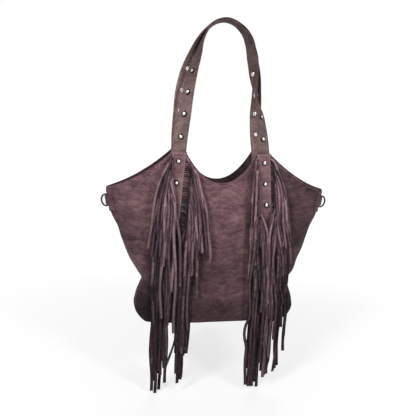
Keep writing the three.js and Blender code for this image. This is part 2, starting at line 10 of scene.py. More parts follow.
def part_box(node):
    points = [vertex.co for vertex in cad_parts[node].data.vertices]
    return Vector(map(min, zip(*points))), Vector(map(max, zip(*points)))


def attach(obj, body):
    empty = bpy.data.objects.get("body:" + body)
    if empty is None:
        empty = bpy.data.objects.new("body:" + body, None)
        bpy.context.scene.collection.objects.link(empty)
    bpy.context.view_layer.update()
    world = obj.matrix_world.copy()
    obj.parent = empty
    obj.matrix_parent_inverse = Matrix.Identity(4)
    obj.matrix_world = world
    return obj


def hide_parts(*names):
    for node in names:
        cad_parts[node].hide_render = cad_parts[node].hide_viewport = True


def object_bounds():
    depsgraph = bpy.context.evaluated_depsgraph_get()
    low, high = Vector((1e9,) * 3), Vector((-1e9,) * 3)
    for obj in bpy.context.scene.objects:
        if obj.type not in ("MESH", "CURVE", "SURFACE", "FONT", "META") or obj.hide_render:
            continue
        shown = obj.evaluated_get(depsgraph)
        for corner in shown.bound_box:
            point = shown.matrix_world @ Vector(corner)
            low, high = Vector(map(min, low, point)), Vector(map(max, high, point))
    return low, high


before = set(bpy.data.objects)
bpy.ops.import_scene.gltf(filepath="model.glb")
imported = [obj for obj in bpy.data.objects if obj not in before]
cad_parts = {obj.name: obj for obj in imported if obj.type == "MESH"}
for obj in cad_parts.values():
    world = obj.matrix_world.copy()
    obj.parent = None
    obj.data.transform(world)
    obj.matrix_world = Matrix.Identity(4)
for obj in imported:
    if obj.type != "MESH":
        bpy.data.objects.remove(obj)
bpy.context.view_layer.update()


# Suede: one brushed nap for all the suede pieces. The node group gives a tone and a height over the
# surface (cloudy mottle, curved brush strokes, fine creases, nap), and each material colours it.
def brushed_nap():
    """The node group of the nap, read at a place on the piece."""
    group = bpy.data.node_groups.new("brushed_nap", "ShaderNodeTree")
    group.interface.new_socket("Place", in_out="INPUT", socket_type="NodeSocketVector")
    group.interface.new_socket("Tone", in_out="OUTPUT", socket_type="NodeSocketFloat")
    group.interface.new_socket("Height", in_out="OUTPUT", socket_type="NodeSocketFloat")
    nodes, links = group.nodes, group.links
    start = nodes.new("NodeGroupInput")
    end = nodes.new("NodeGroupOutput")

    swirl = nodes.new("ShaderNodeTexNoise")
    swirl.inputs["Scale"].default_value = 9
    swirl.inputs["Detail"].default_value = 2
    links.new(start.outputs["Place"], swirl.inputs["Vector"])
    curl = nodes.new("ShaderNodeVectorMath")
    curl.operation = "MULTIPLY_ADD"
    links.new(swirl.outputs["Color"], curl.inputs[0])
    curl.inputs[1].default_value = (0.055, 0.055, 0.055)
    links.new(start.outputs["Place"], curl.inputs[2])

    def cloud(scale, stretch, turn, detail, warp):
        place = nodes.new("ShaderNodeMapping")
        place.inputs["Location"].default_value = (3.3, 0.4, 1.7)
        place.inputs["Scale"].default_value = stretch
        place.inputs["Rotation"].default_value = turn
        links.new(curl.outputs["Vector"], place.inputs["Vector"])
        texture = nodes.new("ShaderNodeTexNoise")
        texture.inputs["Scale"].default_value = scale
        texture.inputs["Detail"].default_value = detail
        texture.inputs["Roughness"].default_value = 0.62
        texture.inputs["Distortion"].default_value = warp
        links.new(place.outputs["Vector"], texture.inputs["Vector"])
        return texture.outputs["Fac"]

    def add(first, second, share):
        part = nodes.new("ShaderNodeMath")
        part.operation = "MULTIPLY_ADD"
        links.new(second, part.inputs[0])
        part.inputs[1].default_value = share
        links.new(first, part.inputs[2])
        return part.outputs[0]

    def spread(value, low, high, to_low, to_high):
        part = nodes.new("ShaderNodeMapRange")
        part.inputs["From Min"].default_value = low
        part.inputs["From Max"].default_value = high
        part.inputs["To Min"].default_value = to_low
        part.inputs["To Max"].default_value = to_high
        links.new(value, part.inputs["Value"])
        return part.outputs["Result"]

    mottle = spread(cloud(15, (1, 1, 1.2), (0, 0, 0), 6, 1.2), 0.32, 0.68, -0.08, 0.28)
    stroke = spread(cloud(1, (32, 32, 150), (0, 0.25, 0), 5, 0.3), 0.30, 0.70, 0, 1)
    cross = spread(cloud(1, (46, 46, 105), (0, -0.7, 0.2), 5, 0.6), 0.32, 0.70, 0, 1)
    nap = spread(cloud(330, (1, 1, 1), (0, 0, 0), 3, 0), 0.3, 0.7, 0, 1)
    crease = nodes.new("ShaderNodeTexVoronoi")
    crease.feature = "DISTANCE_TO_EDGE"
    crease.inputs["Scale"].default_value = 1
    bent = nodes.new("ShaderNodeMapping")
    bent.inputs["Scale"].default_value = (46, 46, 105)
    bent.inputs["Rotation"].default_value = (0, 0.2, 0)
    wave = nodes.new("ShaderNodeVectorMath")
    wave.operation = "MULTIPLY_ADD"
    shaker = nodes.new("ShaderNodeTexNoise")
    shaker.inputs["Scale"].default_value = 30
    links.new(start.outputs["Place"], shaker.inputs["Vector"])
    links.new(shaker.outputs["Color"], wave.inputs[0])
    wave.inputs[1].default_value = (0.02, 0.02, 0.02)
    links.new(start.outputs["Place"], wave.inputs[2])
    links.new(wave.outputs["Vector"], bent.inputs["Vector"])
    links.new(bent.outputs["Vector"], crease.inputs["Vector"])
    line = spread(crease.outputs["Distance"], 0.0, 0.07, 1, 0)
    tone = add(add(add(add(mottle, stroke, 0.27), cross, 0.24), nap, 0.16), line, 0.10)
    links.new(tone, end.inputs["Tone"])
    height = add(add(add(nap, stroke, 0.8), mottle, 1.0), line, -0.7)
    links.new(height, end.inputs["Height"])
    return group


nap_group = brushed_nap()


def suede(name, shades, fall=0.0, relief=0.35, per_strand=False, uses_painted_shading=False):
    """Suede in three shades from dark to light. fall darkens it towards the base as painted shade,
    per_strand gives each strip a tone of its own with painted shade on the strips lying further back and
    along their edges, and the last flag darkens and lightens it by the piece's attribute of painted shading."""
    material = bpy.data.materials.new(name)
    material.use_nodes = True
    nodes, links = material.node_tree.nodes, material.node_tree.links
    shader = nodes["Principled BSDF"]
    place = nodes.new("ShaderNodeTexCoord")
    nap = nodes.new("ShaderNodeGroup")
    nap.node_tree = nap_group
    tone = nap.outputs["Tone"]

    def dimmed(colour, share):
        dim = nodes.new("ShaderNodeVectorMath")
        dim.operation = "SCALE"
        links.new(colour, dim.inputs[0])
        links.new(share, dim.inputs["Scale"])
        return dim.outputs["Vector"]

    if per_strand:
        # Each strip's tone: its own at random, plus painted shade on the strips that lie further back.
        own = nodes.new("ShaderNodeAttribute")
        own.attribute_name = "strand_tone_and_depth_shade"
        apiece = nodes.new("ShaderNodeVectorMath")
        apiece.operation = "SCALE"
        apiece.inputs["Scale"].default_value = 9.7
        links.new(own.outputs["Vector"], apiece.inputs[0])
        move = nodes.new("ShaderNodeVectorMath")
        links.new(place.outputs["Object"], move.inputs[0])
        links.new(apiece.outputs["Vector"], move.inputs[1])
        links.new(move.outputs["Vector"], nap.inputs["Place"])
        shift = nodes.new("ShaderNodeMath")
        shift.operation = "MULTIPLY_ADD"
        links.new(tone, shift.inputs[0])
        shift.inputs[1].default_value = 0.55
        links.new(own.outputs["Fac"], shift.inputs[2])
        # Painted shade along the strips' edges, darkest at the very edge.
        cut = nodes.new("ShaderNodeAttribute")
        cut.attribute_name = "strip_edge_shade"
        darker = nodes.new("ShaderNodeMath")
        darker.operation = "MULTIPLY_ADD"
        links.new(cut.outputs["Fac"], darker.inputs[0])
        darker.inputs[1].default_value = -0.50
        links.new(shift.outputs[0], darker.inputs[2])
        tone = darker.outputs[0]
    else:
        links.new(place.outputs["Object"], nap.inputs["Place"])
    ramp = nodes.new("ShaderNodeValToRGB")
    ramp.color_ramp.elements[0].position = 0.12
    ramp.color_ramp.elements[1].position = 0.92
    ramp.color_ramp.elements.new(0.5)
    for element, shade in zip(ramp.color_ramp.elements, shades):
        element.color = (*shade, 1)
    links.new(tone, ramp.inputs["Fac"])
    colour = ramp.outputs["Color"]
    # Painted shade: darker towards the base, for the light that falls off down the body.
    if fall:
        apart = nodes.new("ShaderNodeSeparateXYZ")
        links.new(place.outputs["Object"], apart.inputs["Vector"])
        low = nodes.new("ShaderNodeMapRange")
        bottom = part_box("base_panel")[0].z
        low.inputs["From Min"].default_value = bottom
        low.inputs["From Max"].default_value = bottom + 0.30
        links.new(apart.outputs["Z"], low.inputs["Value"])
        shadow = nodes.new("ShaderNodeFloatCurve")
        line = shadow.mapping.curves[0]
        line.points[0].location = (0, 1 - fall)
        line.points[1].location = (1, 1)
        line.points.new(0.2, 1 - 0.84 * fall)
        line.points.new(0.5, 1 - 0.50 * fall)
        shadow.mapping.update()
        links.new(low.outputs["Result"], shadow.inputs["Value"])
        colour = dimmed(colour, shadow.outputs["Value"])
    # Painted light and shade: the piece's attribute, multiplied into the colour.
    if uses_painted_shading:
        wear_and_painted_shading = nodes.new("ShaderNodeAttribute")
        wear_and_painted_shading.attribute_name = "wear_and_painted_shading"
        colour = dimmed(colour, wear_and_painted_shading.outputs["Fac"])
    links.new(colour, shader.inputs["Base Color"])
    bump = nodes.new("ShaderNodeBump")
    bump.inputs["Strength"].default_value = relief
    bump.inputs["Distance"].default_value = 0.0012
    links.new(nap.outputs["Height"], bump.inputs["Height"])
    links.new(bump.outputs["Normal"], shader.inputs["Normal"])
    shader.inputs["Roughness"].default_value = 0.92
    shader.inputs["Specular IOR Level"].default_value = 0.18
    shader.inputs["Sheen Weight"].default_value = 0.12
    shader.inputs["Sheen Roughness"].default_value = 0.45
    shader.inputs["Sheen Tint"].default_value = (0.80, 0.66, 0.66, 1)
    return material


# Front and back panel: two soft sheets of brown suede, hemmed along the mouth and joined at the side
# seams. Each is a grid laid on the CAD's wall, with slack, drag lines and the pinched waist pushed in.
base_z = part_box("base_panel")[0].z
mouth_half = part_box("front_panel")[1].x
body_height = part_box("front_panel")[1].z - base_z
mouth_depth = 0.028
base_depth = 0.062
corner_height = 0.288
scoop_height = 0.303
scoop_half = 0.077
wing_sag = 0.56
peak_end = 0.104
base_share = 0.7615
base_half = mouth_half * base_share
ear_rise = 0.028
waist_height = 0.098
waist_ease = 0.0085
panel_thick = 0.0018
wall_gap = 0.00015
smooth_angle = math.radians(50)
handle_half = 0.090
tab_lean = 0.08


def clamped(value):
    """The value, kept between 0 and 1."""
    return min(max(value, 0), 1)


def through(rows):
    """A smooth curve through rows of (place, value)."""
    def slope(i):
        a = rows[max(i - 1, 0)]
        b = rows[min(i + 1, len(rows) - 1)]
        return (b[1] - a[1]) / (b[0] - a[0])

    def value(place):
        if place <= rows[0][0]:
            return rows[0][1]
        if place >= rows[-1][0]:
            return rows[-1][1]
        i = next(k for k in range(len(rows) - 1) if place <= rows[k + 1][0])
        step = rows[i + 1][0] - rows[i][0]
        t = (place - rows[i][0]) / step
        return ((1 + 2 * t) * (1 - t) ** 2 * rows[i][1] + t * (1 - t) ** 2 * step * slope(i)
                + t * t * (3 - 2 * t) * rows[i + 1][1] + t * t * (t - 1) * step * slope(i + 1))
    return value


width_share = through([(0, base_share), (.076, base_share), (.177, .715), (.232, .689), (.283, .73),
                       (.341, .782), (.409, .833), (.485, .876), (.559, .912), (.635, .9645), (.71, .982),
                       (.785, 1), (1, 1)])
depth_share = through([(0, 1), (.11, 1), (.232, .88), (.327, .84), (.485, .68), (.635, .46), (.785, .2),
                       (.87, .08), (1, 0)])
squareness = through([(0, 3.6), (.12, 3.4), (.232, 3), (.485, 2.4), (.635, 2), (1, 2)])


def half_width(h):
    """Half the body's width at a height above the base."""
    return mouth_half * width_share(h / body_height)


def half_depth(h):
    """Half the body's depth at a height above the base."""
    return mouth_depth + (base_depth - mouth_depth) * depth_share(h / body_height)


def top_edge(x):
    """Height of the mouth: a scoop, a flat peak behind each handle, and a wing that sags to its corner."""
    x = abs(x)
    if x <= scoop_half:
        return scoop_height + (body_height - scoop_height) * (x / scoop_half) ** 2.1
    if x <= peak_end:
        return body_height
    t = (x - peak_end) / (mouth_half - peak_end)
    return body_height - (body_height - corner_height) * ((1 + wing_sag) * t - wing_sag * t * t)


def base_edge(x):
    """Height of the bottom seam, which turns up into the ears at both ends."""
    t = max(abs(x) - 0.85 * base_half, 0) / (0.15 * base_half)
    return ear_rise * t ** 1.6


# Each fold: from (x, height) to (x, height), half its width, and how far it stands out (or in).
folds = [
    ((-.170, .083), (-.118, .066), .012, -.0075),
    ((-.176, .104), (-.100, .082), .015, .0050),
    ((-.166, .098), (-.128, .165), .010, -.0030),
    ((-.190, .140), (-.120, .118), .013, .0030),
    ((-.205, .185), (-.150, .150), .014, -.0026),
    ((-.180, .069), (-.140, .050), .005, -.0036),
    ((-.186, .041), (-.130, .040), .006, .0034),
    ((-.184, .022), (-.146, .008), .006, .0030),
    ((-.176, .030), (-.140, .026), .0045, -.0028),
    ((-.140, .029), (.140, .027), .0042, -.0016),
    ((.168, .083), (.120, .060), .012, -.0070),
    ((.178, .108), (.105, .090), .014, .0048),
    ((.172, .100), (.140, .172), .010, -.0030),
    ((.196, .150), (.128, .122), .013, .0028),
    ((.210, .195), (.160, .165), .012, -.0022),
    ((.180, .067), (.140, .052), .005, -.0034),
    ((.186, .043), (.128, .038), .007, .0030),
    ((.182, .020), (.148, .009), .006, .0026),
    ((.176, .030), (.140, .026), .0045, -.0026),
    ((-.060, .120), (.050, .100), .020, -.0026),
    ((-.050, .070), (.062, .058), .016, .0022),
    ((-.070, .285), (-.030, .205), .014, .0018),
    ((.066, .285), (.034, .212), .014, .0018),
    ((.010, .300), (-.012, .225), .018, -.0016),
]


def slack(x, h, side):
    """How far the soft wall stands out of the plain one: folds, then unevenness of three sizes."""
    total = 0.0
    turned = x if side < 0 else -x
    for (x0, h0), (x1, h1), width, lift in folds:
        dx = x1 - x0
        dh = h1 - h0
        t = clamped(((turned - x0) * dx + (h - h0) * dh) / (dx * dx + dh * dh))
        gap = math.hypot(turned - x0 - t * dx, h - h0 - t * dh)
        total += lift * math.exp(-(gap / width) ** 2) * (1 - 0.6 * t)
    total += 0.0020 * noise.noise(Vector((x * 11, side * 3.1, h * 9)))
    total += 0.0008 * noise.noise(Vector((x * 34, side * 7.3, h * 30)))
    total += 0.0003 * noise.noise(Vector((x * 90, side * 5.7, h * 110)))
    by_tab = math.exp(-((abs(x) - 0.098) / 0.03) ** 2) * clamped((h - 0.16) / 0.06)
    by_mouth = min(max((top_edge(x) - h) / 0.05, 0.25), 1)
    return total * (1 - 0.85 * by_tab) * by_mouth


def wall_point(share, h, side, out):
    """A point of the wall at a share of the half-width; out is along the wall's own normal. The right
    side is pinched less at the waist than the left."""
    power = squareness(h / body_height)
    wide = half_width(h) + 0.0010 * noise.noise(Vector((h * 40, share > 0, 0.5)))
    if share > 0:
        wide += waist_ease * math.exp(-((h - waist_height) / 0.022) ** 2)
    deep = half_depth(h)
    rest = max(1 - abs(share) ** power, 0) ** (1 / power)
    across = Vector((math.copysign(abs(share) ** (power - 1), share) / wide,
                     side * rest ** (power - 1) / deep, 0))
    if across.length < 1e-9:
        across = Vector((0, side, 0))
    across.normalize()
    x = wide * share
    soft = slack(x, h, side) * (1 - abs(share) ** 10)
    return Vector((x, side * (wall_gap + deep * rest), base_z + h)) + across * (out + soft)


def wall_y(x, h):
    """How far the front wall stands out at x, slack included; below the base it keeps on down."""
    h = min(max(h, 0.004), body_height)
    power = squareness(h / body_height)
    share = min(abs(x) / half_width(h), 0.999)
    return half_depth(h) * (1 - share ** power) ** (1 / power) + slack(x, h, -1) * (1 - share ** 10)


def cut_sheet(name, columns, rows, place):
    """A flat grid of suede whose every vertex is then set by its place (u, v) on the sheet."""
    bpy.ops.object.select_all(action="DESELECT")
    bpy.ops.mesh.primitive_grid_add(x_subdivisions=columns, y_subdivisions=rows, size=2)
    sheet = bpy.context.object
    sheet.name = name
    sheet.data.name = name
    for vertex in sheet.data.vertices:
        vertex.co = place((vertex.co.x + 1) / 2, (vertex.co.y + 1) / 2)
    return sheet


def thicken(sheet, thick, offset, inside=0):
    """Gives a sheet its thickness, and its inner face the material that many slots on."""
    bpy.context.view_layer.objects.active = sheet
    solid = sheet.modifiers.new("thickness", "SOLIDIFY")
    solid.thickness = thick
    solid.offset = offset
    solid.material_offset = inside
    bpy.ops.object.modifier_apply(modifier="thickness")
    bpy.ops.object.select_all(action="DESELECT")
    sheet.select_set(True)
    bpy.ops.object.shade_smooth_by_angle(angle=smooth_angle)


# Painted shade on the panels: darker towards the base, with painted light and shade from their attribute.
panel_suede = suede("panel_suede", ((.042, .022, .026), (.162, .088, .099), (.335, .210, .222)),
                    fall=0.70, relief=0.4, uses_painted_shading=True)
# Inner faces of the panels: the panel suede in far darker shades, painted shade inside the bag.
inside_suede = suede("inside_suede", ((.020, .011, .014), (.055, .030, .035), (.10, .06, .066)))
scoop_columns = 24
peak_columns = 9
wing_columns = 36
half_columns = scoop_columns + peak_columns + wing_columns
body_rows = 78
hem_rows = 14
hem_band = 0.016
hem_fold = 0.0090
hem_seam = 0.0062
ear_top = 0.096


def panel_place(side):
    """Places of a panel's grid, with columns on the scoop, the peaks and the wings and rows on the hem."""
    def place(u, v):
        column = (u * 2 - 1) * half_columns
        k = abs(round(column))
        if k <= scoop_columns:
            share = scoop_half / mouth_half * k / scoop_columns
        elif k <= scoop_columns + peak_columns:
            share = (scoop_half + (peak_end - scoop_half) * (k - scoop_columns) / peak_columns) / mouth_half
        else:
            t = (k - scoop_columns - peak_columns) / wing_columns
            share = peak_end / mouth_half + (1 - peak_end / mouth_half) * math.sin(math.pi / 2 * t)
        share = math.copysign(share, column)
        top = top_edge(mouth_half * share)
        low = base_edge(base_half * share) + 0.0004
        row = round(v * (body_rows + hem_rows))
        if row <= body_rows:
            h = low + (top - hem_band - low) * row / body_rows
        else:
            h = top - hem_band + hem_band * (row - body_rows) / hem_rows
        under = top - h
        hem = 0.0009 / (1 + math.exp((under - hem_fold) / 0.0006))
        groove = -0.0006 * math.exp(-((under - hem_seam) / 0.0010) ** 2)
        return wall_point(share if side < 0 else -share, h, side, hem + groove)
    return place


def panel_shade(x, h, side):
    """How light the panel is, as painted light and shade: less in its folds, on its ears and, on the front,
    behind the fringe; more on fold ridges and over the upper middle; less at the front's +x end and more at
    the back's.
    """
    fold = slack(x, h, side)
    if h < ear_top:
        fold *= 1 - 0.85 * clamped((abs(x) - 0.10) / 0.05) * min((ear_top - h) / 0.012, 1)
    # Painted shade in the folds and painted light on their ridges.
    fold_shading = min(max(fold / 0.0085, -0.55), 0.22)
    # Painted shade on the ears, deeper below a slanting crease.
    crease = 0.060 + 0.55 * (abs(x) - 0.160)
    ear = (clamped((abs(x) - 0.100) / 0.052)
           * (0.30 * clamped((0.092 - h) / 0.014) + 0.70 * clamped((crease - h) / 0.006 + 0.5)))
    # Painted shadow under the fringe, on the front only.
    beside = abs(x) - handle_half - tab_lean * (body_height - h)
    spread = clamped((0.345 - h) / 0.13)
    reach = 0.016 + spread * (0.024 if beside > 0 or x > 0 else 0.032)
    shaded = clamped((reach - abs(beside)) / 0.012 + 0.5) * clamped((0.352 - h) / 0.012) * (side < 0)
    # Painted light over the upper middle of both panels.
    painted_centre_light = 0.22 * math.exp(-((x + 0.004) / 0.06) ** 2 - ((h - 0.235) / 0.055) ** 2)
    # Painted shade on the front's +x end; on the back the same term lightens that end.
    painted_side_shade = -side * 0.42 * clamped((x - 0.10) / 0.05)
    return (1 + fold_shading + painted_centre_light - painted_side_shade) * (1 - 0.68 * ear) * (1 - 0.62 * shaded)


for side, node in ((-1, "front_panel"), (1, "back_panel")):
    panel = cut_sheet(node + "_suede", half_columns * 2, body_rows + hem_rows, panel_place(side))
    # Painted light and shade of the panel, from panel_shade, stored as its attribute.
    wear_and_painted_shading = panel.data.attributes.new("wear_and_painted_shading", "FLOAT", "POINT")
    for vertex, value in zip(panel.data.vertices, wear_and_painted_shading.data):
        value.value = panel_shade(vertex.co.x, vertex.co.z - base_z, side)
    panel.data.materials.append(panel_suede)
    panel.data.materials.append(inside_suede)
    thicken(panel, panel_thick, -1, 1)
    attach(panel, "bag")
    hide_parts(node)


# Base: the thicker suede bottom, sewn in between the two panels. Its ends turn up into the ears, and
# it sags a little between its seams.
base_inset = 0.0012
base_suede = suede("base_suede", ((.030, .019, .023), (.062, .038, .044), (.11, .072, .078)))


def base_place(u, v):
    """Places of the base's grid, inside the bottom seams of the panels."""
    share = math.sin(math.pi / 2 * (u * 2 - 1)) * 0.9995
    across = v * 2 - 1
    lift = base_edge(base_half * share)
    power = squareness(lift / body_height)
    deep = half_depth(lift) * max(1 - abs(share) ** power, 0) ** (1 / power)
    x = (half_width(lift) - base_inset) * share
    y = across * max(deep - base_inset, 0)
    sag = 0.0006 * noise.noise(Vector((x * 25, y * 25, 2)))
    return Vector((x, y, base_z + lift + 0.0016 + sag))


bottom = cut_sheet("base_suede", 72, 24, base_place)
thicken(bottom, 0.0022, 0)
bottom.data.materials.append(base_suede)
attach(bottom, "bag")
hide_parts("base_panel")


# Handles: two long straps of folded suede, 28 mm wide. Each runs from inside a panel, up a leg that
# turns a quarter, over the top and down the other leg; the edges are rolled and lightly channelled.
strap_half = 0.014
strap_thick = 0.0028
# Each row of a leg: share of the handle's rise, how wide it stands on the left and on the right and how
# deep, as shares of its foot, and its turn in degrees on the left and on the right.
front_leg = [
    (.114, .969, .961, .976, 8, 18), (.288, .897, .878, .894, 28, 45),
    (.451, .826, .748, .73, 42, 80), (.602, .731, .687, .55, 56, 115),
    (.739, .62, .645, .325, 66, 130), (.837, .545, .565, .163, 80, 112),
    (.92, .42, .435, .06, 90, 98), (.98, .222, .224, .012, 90, 91),
]
back_leg = [
    (.124, 1, .939, .976, 10, 20), (.296, .994, .878, .894, 32, 45),
    (.46, .967, .861, .73, 37, 62), (.613, .875, .822, .55, 46, 75),
    (.755, .71, .72, .325, 56, 83), (.856, .582, .63, .163, 76, 88),
    (.925, .432, .48, .06, 88, 90), (.98, .228, .24, .012, 90, 90),
]
handle_rise = 0.264
strap_gap = 0.0006
strap_seam = 0.84
tuck = 0.079


def tab_x(h):
    """The line down the middle of a tab and of the strap end behind it."""
    return handle_half + tab_lean * (body_height - h)


def plain_depth(x, h):
    """How far the plain wall, without its slack, stands out at x."""
    power = squareness(h / body_height)
    share = min(abs(x) / half_width(h), 0.999)
    return wall_gap + half_depth(h) * (1 - share ** power) ** (1 / power)


def wall_normal(x, h, side):
    """The way that the plain wall faces at x."""
    step = 0.0005
    run = (plain_depth(x + step, h) - plain_depth(x - step, h)) / (2 * step)
    rise = (plain_depth(x, h + step) - plain_depth(x, h - step)) / (2 * step)
    return Vector((-run, side, -rise)).normalized()


def handle_points(side):
    """Points (place, turn) of a handle's middle line, from its left end to its right one."""
    rise = handle_rise + (0 if side < 0 else strap_thick + strap_gap)
    legs = []
    for hand in (-1, 1):
        leg = []
        for part in (1, 0.68, 0.36, 0.02):
            h = body_height - part * tuck
            x = hand * tab_x(h)
            inner = Vector((x, side * plain_depth(x, h), h))
            leg.append((inner - wall_normal(x, h, side) * (panel_thick + 0.0007 + strap_thick / 2), 0))
        start = leg[-1][0]
        for part, left, right, deep, turn_left, turn_right in (front_leg if side < 0 else back_leg):
            wide = hand * handle_half * (left if hand < 0 else right)
            leg.append((Vector((wide, deep * start.y, body_height + part * rise)),
                        turn_left if hand < 0 else turn_right))
        legs.append(leg)
    return legs[0] + [(Vector((0, 0, body_height + rise)), 90)] + legs[1][::-1]


def along_points(points, t):
    """A smooth line through points, at share t of its length in points."""
    last = len(points) - 1
    i = min(int(t * last), last - 1)
    f = t * last - i
    p1 = points[i]
    p2 = points[i + 1]
    p0 = points[i - 1] if i > 0 else p1 * 2 - p2
    p3 = points[i + 2] if i + 2 <= last else p2 * 2 - p1
    d0 = max((p1 - p0).length, 1e-6) ** 0.5
    d1 = max((p2 - p1).length, 1e-6) ** 0.5
    d2 = max((p3 - p2).length, 1e-6) ** 0.5
    s1 = ((p1 - p0) / d0 - (p2 - p0) / (d0 + d1) + (p2 - p1) / d1) * d1
    s2 = ((p2 - p1) / d1 - (p3 - p1) / (d1 + d2) + (p3 - p2) / d2) * d1
    return (p1 * (1 + 2 * f) * (1 - f) ** 2 + s1 * f * (1 - f) ** 2
            + p2 * f * f * (3 - 2 * f) + s2 * f * f * (f - 1))


def strap_frame(keys, side, t):
    """Place, normal and width of a strap at share t of its points."""
    points = [p for p, turn in keys]
    last = len(keys) - 1
    i = min(int(t * last), last - 1)
    f = t * last - i
    turn = math.radians(keys[i][1] * (1 - f) + keys[i + 1][1] * f)
    spot = along_points(points, t)
    step = 0.0005
    tangent = along_points(points, min(t + step, 1)) - along_points(points, max(t - step, 0))
    tangent.normalize()
    outward = Vector((-tangent.z, 0, tangent.x)).normalized()
    h = min(spot.z, body_height - 0.001)
    flat = wall_normal(math.copysign(tab_x(h), spot.x), h, side)
    normal = flat * math.cos(turn) + outward * math.sin(turn)
    normal = (normal - tangent * normal.dot(tangent)).normalized()
    return spot + Vector((0, 0, base_z)), normal, tangent.cross(normal)


def round_edges(piece, width):
    """Rolls a piece's cut edges over."""
    bpy.ops.object.select_all(action="DESELECT")
    piece.select_set(True)
    bpy.context.view_layer.objects.active = piece
    bevel = piece.modifiers.new("edge", "BEVEL")
    bevel.width = width
    bevel.segments = 2
    bevel.limit_method = "ANGLE"
    bevel.angle_limit = math.radians(55)
    bpy.ops.object.modifier_apply(modifier="edge")
    bpy.ops.object.shade_smooth_by_angle(angle=smooth_angle)


def strap_place(keys, side, strap_shading):
    """Places of a strap's grid; the list it is given takes how light each vertex is, as painted light and
    shade:
    darker over the upper handle, reaching lower on the right leg, and lighter on the back strap's left leg.
    """
    def place(u, v):
        across = u * 2 - 1
        spot, normal, width = strap_frame(keys, side, v)
        # Painted shade: a little darker on the right leg, and darker over the upper handle, lower on the
        # right.
        right = clamped(spot.x / 0.02)
        upper_shade = clamped((spot.z + 0.165 + 0.055 * right) / 0.085)
        # Painted light on the back strap's left leg, where it lies in shade.
        painted_strap_light = 0.75 * math.exp(-((spot.z + 0.130) / 0.055) ** 2) if side > 0 and spot.x < 0 else 0
        strap_shading.append((1 - 0.08 * right - 0.50 * upper_shade * upper_shade * (3 - 2 * upper_shade)) * (1 + painted_strap_light))
        cup = 0.0005 * across * across + 0.0003 * noise.noise(spot * 60)
        groove = -0.0004 * math.exp(-((abs(across) - strap_seam) / 0.05) ** 2)
        return spot + width * (strap_half * across) + normal * (cup + groove)
    return place


# Inner faces of the straps: the strap suede in lighter shades, painted light for faces that lie in shade.
lit_strap_inside = suede("strap_inside_suede", ((.100, .061, .062), (.250, .163, .158), (.40, .29, .275)),
                     uses_painted_shading=True)
strap_suede = suede("strap_suede", ((.085, .052, .053), (.205, .134, .130), (.33, .24, .225)), uses_painted_shading=True)
for side, node in ((-1, "front_handle"), (1, "back_handle")):
    strap_shading = []
    strap = cut_sheet(node + "_strap", 24, 260, strap_place(handle_points(side), side, strap_shading))
    # Painted light and shade of the strap, stored as its attribute.
    wear_and_painted_shading = strap.data.attributes.new("wear_and_painted_shading", "FLOAT", "POINT")
    for value, share in zip(wear_and_painted_shading.data, strap_shading):
        value.value = share
    strap.data.materials.append(strap_suede)
    strap.data.materials.append(lit_strap_inside)
    thicken(strap, strap_thick, 0, 1)
    round_edges(strap, 0.0008)
    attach(strap, "bag")
    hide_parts(node)


# Tabs: a rounded suede patch on the front panel below each peak, pressed thin at its stitched edges.
# They hold down the root of the comb, and are studded through the panel.
tab_half = 0.0135
tab_top = body_height - 0.0006
tab_length = 0.161
tab_round = tab_top - tab_length + tab_half
tab_lift = 0.0022
tab_thick = 0.0018
tab_seam = 0.86
tab_rows = 64
straight_rows = 52
tab_suede = suede("tab_suede", ((.074, .040, .045), (.200, .113, .122), (.37, .24, .245)))


def tab_spot(hand, across, down):
    """A spot of a tab's back face; down runs from 0 at the top to 1 at the rounded end."""
    row = down * tab_rows
    if row <= straight_rows:
        h = tab_top - (tab_top - tab_round) * row / straight_rows
        half = tab_half + 0.0017 * max(1 - 2 * row / straight_rows, 0) ** 1.5
    else:
        angle = math.pi / 2 * (row - straight_rows) / (tab_rows - straight_rows)
        h = tab_round - tab_half * math.sin(angle)
        half = max(tab_half * math.cos(angle), 0.0007)
    x = hand * tab_x(h) + half * across
    edge = max(abs(across) - tab_seam, 0) / (1 - tab_seam)
    groove = 0.0004 * math.exp(-((abs(across) - tab_seam) / 0.05) ** 2)
    puff = 0.0003 * noise.noise(Vector((x * 45, h * 45, 3)))
    return Vector((x, -(wall_y(x, h) + tab_lift - 0.0005 * edge - groove + puff), base_z + h))


for hand, word in ((-1, "left"), (1, "right")):
    tab = cut_sheet(word + "_tab_suede", 22, tab_rows,
                    lambda u, v, hand=hand: tab_spot(hand, u * 2 - 1, 1 - v))
    thicken(tab, tab_thick, 1)
    round_edges(tab, 0.0006)
    tab.data.materials.append(tab_suede)
    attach(tab, "bag")
    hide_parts(word + "_tab")


# Fringe: a comb of cut suede strips out of both edges of each tab and round its end. Every strip comes
# out square to the edge, twists over, falls into its own place in the bunch and hangs past the base.
random.seed(11)
# Painted shade on the fringe: darker towards the base.
fringe_suede = suede("fringe_suede", ((.016, .010, .015), (.133, .075, .090), (.355, .236, .25)),
                     fall=0.60, relief=0.3, per_strand=True)
teeth_side = 32
teeth_end = 9
comb_top = tab_top - 0.010
strip_half = 0.0034
strip_thick = 0.0012
lowest_tip = -0.166
bowed_strip = (1, -1, 26)
slanting_strip = (-1, -1, 37)
# Each comb, by hand and edge: how far out its top strips hang, the nearest and the furthest place of its
# lower ones, how far its teeth stick out, and how far its strips stay clear of the tab.
combs = {
    (-1, 1): (0.048, 0.010, 0.048, 0.0035, 0.004),
    (-1, -1): (0.100, 0.006, 0.034, 0.0135, 0.021),
    (1, 1): (0.056, 0.008, 0.047, 0.0070, 0.011),
    (1, -1): (0.047, 0.000, 0.033, 0.0045, 0.006),
}


